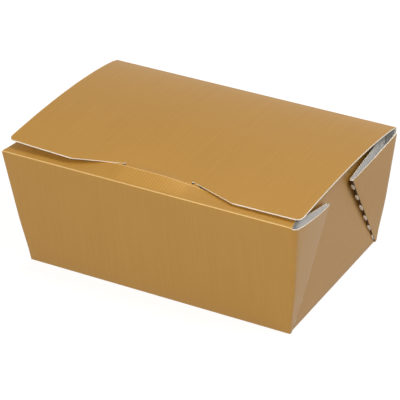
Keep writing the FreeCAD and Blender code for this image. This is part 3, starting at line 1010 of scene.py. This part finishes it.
def bare_rim(grid, places):
    """Gives a grid's outermost faces the finish of the cut edge; places are (row or column, which)."""
    for kind, index in places:
        line = set(grid[index]) if kind == "row" else {row[index] for row in grid}
        for vert in line:
            for face in vert.link_faces:
                if len(line.intersection(face.verts)) > 1:
                    face.material_index = EDGE_FACE


print(len(lid_places), "points across the lid")

# %% The lid's panel, shoulders and tongue
PANEL_ROWS, FRONT_ROWS = 26, 9
lid_sheet = bmesh.new()
panel_rows = spaced(HINGE_Y, SLIT_END_Y, PANEL_ROWS)
panel = add_grid(lid_sheet, *lid_rows(panel_rows, lambda y: lid_places[::-1], lid_height))
bare_rim(panel, [("column", 0), ("column", -1)])
front_depth = SLIT_END_Y - LID_FRONT_Y
eased = [math.sin(i / FRONT_ROWS * math.pi / 2) for i in range(FRONT_ROWS + 1)]
front_share = [share * (1 - EDGE_RIM / front_depth) for share in eased] + [1]
front_rows = [mix(SLIT_END_Y, LID_FRONT_Y, share) for share in front_share]
right_shoulder = add_grid(lid_sheet, *lid_rows(front_rows, lambda y: shoulder_columns(y)[::-1], lid_height))
bare_rim(right_shoulder, [("column", 0), ("row", -1)])
left_shoulder = add_grid(lid_sheet, *lid_rows(front_rows, lambda y: [-x for x in shoulder_columns(y)],
                                              lid_height))
bare_rim(left_shoulder, [("column", -1), ("row", -1)])
add_grid(lid_sheet, *lid_rows(front_rows, lambda y: tongue_columns(y)[::-1], tongue_height))
print("the lid's sheet has", len(lid_sheet.faces), "faces so far")

# %% [markdown]
# ### The crease and the ends of the slits
#
# A crease is pressed into the card and stands out as a small bead, half a turn of card round the line that
# the lid swings on. It could be part of the wall, but as part of the lid it turns with it and stays shut
# against the wall at every angle. Each slit ends in a small round hole, which keeps the card from tearing
# on, and a boolean cuts it out.

# %% The lid's crease
BEAD_STEPS = 9


def bead_rows():
    """The card curls half way round the hinge, from the lid down to the rear wall."""
    rows, blank = [], []
    radius = HINGE_RADIUS - CARD / 2
    xs = lid_places[::-1]
    for angle in spaced(-math.pi / 2, math.pi / 2, BEAD_STEPS):
        y = HINGE_Y + radius * math.cos(angle)
        z = HINGE_Z + radius * math.sin(angle)
        rows.append([Vector((x, y, z)) for x in xs])
        blank.append([Vector((x, LONG_CREASE, 0)) for x in xs])
    return rows, blank


add_grid(lid_sheet, *bead_rows())
lid = thickened("lid_sheet", lid_sheet, finishes)
print("the lid is", round(1000 * LID_LENGTH, 1), "mm long")

# %% The holes at the ends of the slits
HOLE_RADIUS = 0.65 * mm
HOLE_SEGMENTS = 20
DRILL_LENGTH = 12 * mm
holes = bmesh.new()
for side in (1, -1):
    place = Matrix.Translation((side * (SLIT_END - SLIT_KERF), SLIT_END_Y - HOLE_RADIUS / 2, HEIGHT))
    bmesh.ops.create_cone(holes, cap_ends=True, segments=HOLE_SEGMENTS, radius1=HOLE_RADIUS,
                          radius2=HOLE_RADIUS, depth=DRILL_LENGTH, matrix=place)
hole_mesh = bpy.data.meshes.new("slit_holes")
holes.to_mesh(hole_mesh)
holes.free()
hole_mesh.materials.append(edge)
join_or_cut(lid, hole_mesh, "DIFFERENCE")
soften(lid)
print("the lid has", len(lid.data.polygons), "faces")

# %% [markdown]
# ## Onto the frame
#
# Each sheet takes the place of its solid and moves with the same body, so the lid swings on the rear
# crease. The walls could also be bent with the lid, but the crease is where the real sheet turns, so two
# stiff pieces that meet at the bead show it as it is.

# %% Riding
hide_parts("carton")
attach(carton, "carton")
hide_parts("lid")
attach(lid, "lid")
print("the sheets ride on carton and lid")

# %% [markdown]
# ## Studio
#
# A plain white sweep under soft light shows card best. The floor is white to the camera and in reflections
# through Light Path, and an ordinary surface to everything else, so that it still carries the shadow of
# the box. Above the sweep the room is dark in reflections, which gives the coating its depth of tone.

# %% The floor
HALF_FLOOR = 1.5
FLOOR_GREY, FLOOR_ROUGHNESS = (0.21, 0.21, 0.21), 0.9
SHADOWED_GREY = (0.3, 0.3, 0.3, 1)
FLOOR_GLOW = 0.8


def picture_ray(tree):
    """1 for rays that the camera or a reflection sends, and 0 for the rays that only carry light."""
    rays = add_node(tree, "ShaderNodeLightPath").outputs
    reflected = math_node(tree, "MAXIMUM", rays["Is Glossy Ray"], rays["Is Transmission Ray"])
    return math_node(tree, "MAXIMUM", rays["Is Camera Ray"], reflected)


def floor_material():
    """Grey where light falls on it; white, with faint shadows, to the camera and in reflections."""
    material, tree, shader = new_material("studio_floor", FLOOR_GREY, 0, FLOOR_ROUGHNESS)
    shadowed = add_node(tree, "ShaderNodeBsdfDiffuse", color=SHADOWED_GREY)
    glow = add_node(tree, "ShaderNodeEmission", color=(1, 1, 1, 1), strength=FLOOR_GLOW)
    white = add_node(tree, "ShaderNodeAddShader")
    tree.links.new(shadowed.outputs[0], white.inputs[0])
    tree.links.new(glow.outputs[0], white.inputs[1])
    either = add_node(tree, "ShaderNodeMixShader")
    tree.links.new(picture_ray(tree), either.inputs[0])
    tree.links.new(shader.outputs[0], either.inputs[1])
    tree.links.new(white.outputs[0], either.inputs[2])
    tree.links.new(either.outputs[0], tree.nodes["Material Output"].inputs["Surface"])
    return material


floor_mesh = bpy.data.meshes.new("studio_floor")
floor_corners = [(x * HALF_FLOOR, y * HALF_FLOOR, 0) for x, y in ((-1, -1), (1, -1), (1, 1), (-1, 1))]
floor_mesh.from_pydata(floor_corners, [], [(0, 1, 2, 3)])
floor_mesh.materials.append(floor_material())
floor = new_object("studio_floor", floor_mesh)
print("a floor", 2 * HALF_FLOOR, "m wide")

# %% [markdown]
# ### Light
#
# Three round lamps share the work. The key lamp in front lights the long wall, the side lamp stands high
# on the right and shines into the gussets' open mouths, and a weak lamp above and behind throws the lid's
# shadow onto the front flap. The sky fills the rest evenly.

# %% Sky
SKY = 0.23
CEILING = 0.1
SWEEP_TOP, CEILING_START = 0.25, 0.7


def sky_strength(tree):
    """White to the camera; a white sweep under a dark ceiling in reflections; an even glow as light."""
    towards = add_node(tree, "ShaderNodeTexCoord").outputs["Generated"]
    height = add_node(tree, "ShaderNodeSeparateXYZ", vector=towards).outputs["Z"]
    studio = add_node(tree, "ShaderNodeMapRange", value=height, from_min=SWEEP_TOP, from_max=CEILING_START,
                      to_min=1.0, to_max=CEILING)
    camera_ray = add_node(tree, "ShaderNodeLightPath").outputs["Is Camera Ray"]
    seen = math_node(tree, "MAXIMUM", camera_ray, studio.outputs["Result"])
    return add_node(tree, "ShaderNodeMix", factor=picture_ray(tree), a=SKY, b=seen).outputs["Result"]


world = bpy.data.worlds.new("studio")
world.use_nodes = True
sky = world.node_tree.nodes["Background"]
sky.inputs["Color"].default_value = (1, 1, 1, 1)
world.node_tree.links.new(sky_strength(world.node_tree), sky.inputs["Strength"])
bpy.context.scene.world = world
print("the sky lights at", SKY, "of white")

# %% Lamps
LIT_POINT = Vector((0, 0, 0.03))


def area_light(name, place, size, power):
    """A round lamp that faces the middle of the box."""
    light = bpy.data.lights.new(name, "AREA")
    light.shape = "DISK"
    light.size = size
    light.energy = power
    lamp = new_object(name, light)
    lamp.location = place
    lamp.rotation_euler = (Vector(place) - LIT_POINT).to_track_quat("Z", "Y").to_euler()
    print("lamp", name, "of", power, "W")


area_light("key", place=(0.18, -1.0, 0.78), size=0.3, power=9.4)
area_light("side", place=(0.734, 0.13, 1.065), size=0.35, power=6.6)
area_light("top", place=(-0.2, 0.45, 1.2), size=0.3, power=2.4)

# %% [markdown]
# ## The camera
#
# A long lens from a long way off keeps the box's edges nearly parallel, as in a catalogue picture. The
# camera looks down from the front right and is turned a little about its own line of sight.

# %% Camera
AZIMUTH = math.radians(30.442)
ELEVATION = math.radians(31.040)
ROLL = math.radians(-1.888)
DISTANCE = 1.0401
TARGET = Vector((-1.469 * mm, 0, 25.87 * mm))
LENS = 210.3
SENSOR = 36
FAR_LIMIT = 20

flat_reach = math.cos(ELEVATION)
back = Vector((math.sin(AZIMUTH) * flat_reach, -math.cos(AZIMUTH) * flat_reach, math.sin(ELEVATION)))
right = (-back).cross(Vector((0, 0, 1))).normalized()
up = right.cross(-back)
turned_right = right * math.cos(ROLL) + up * math.sin(ROLL)
turned_up = up * math.cos(ROLL) - right * math.sin(ROLL)
camera_data = bpy.data.cameras.new("camera")
camera_data.lens = LENS
camera_data.sensor_width = SENSOR
camera_data.clip_end = FAR_LIMIT
camera = new_object("camera", camera_data)
orientation = Matrix((turned_right, turned_up, back)).transposed()
camera.matrix_world = Matrix.Translation(TARGET + back * DISTANCE) @ orientation.to_4x4()
bpy.context.scene.camera = camera
bpy.context.scene.view_settings.view_transform = "Standard"
print("a", LENS, "mm lens,", DISTANCE, "m away")
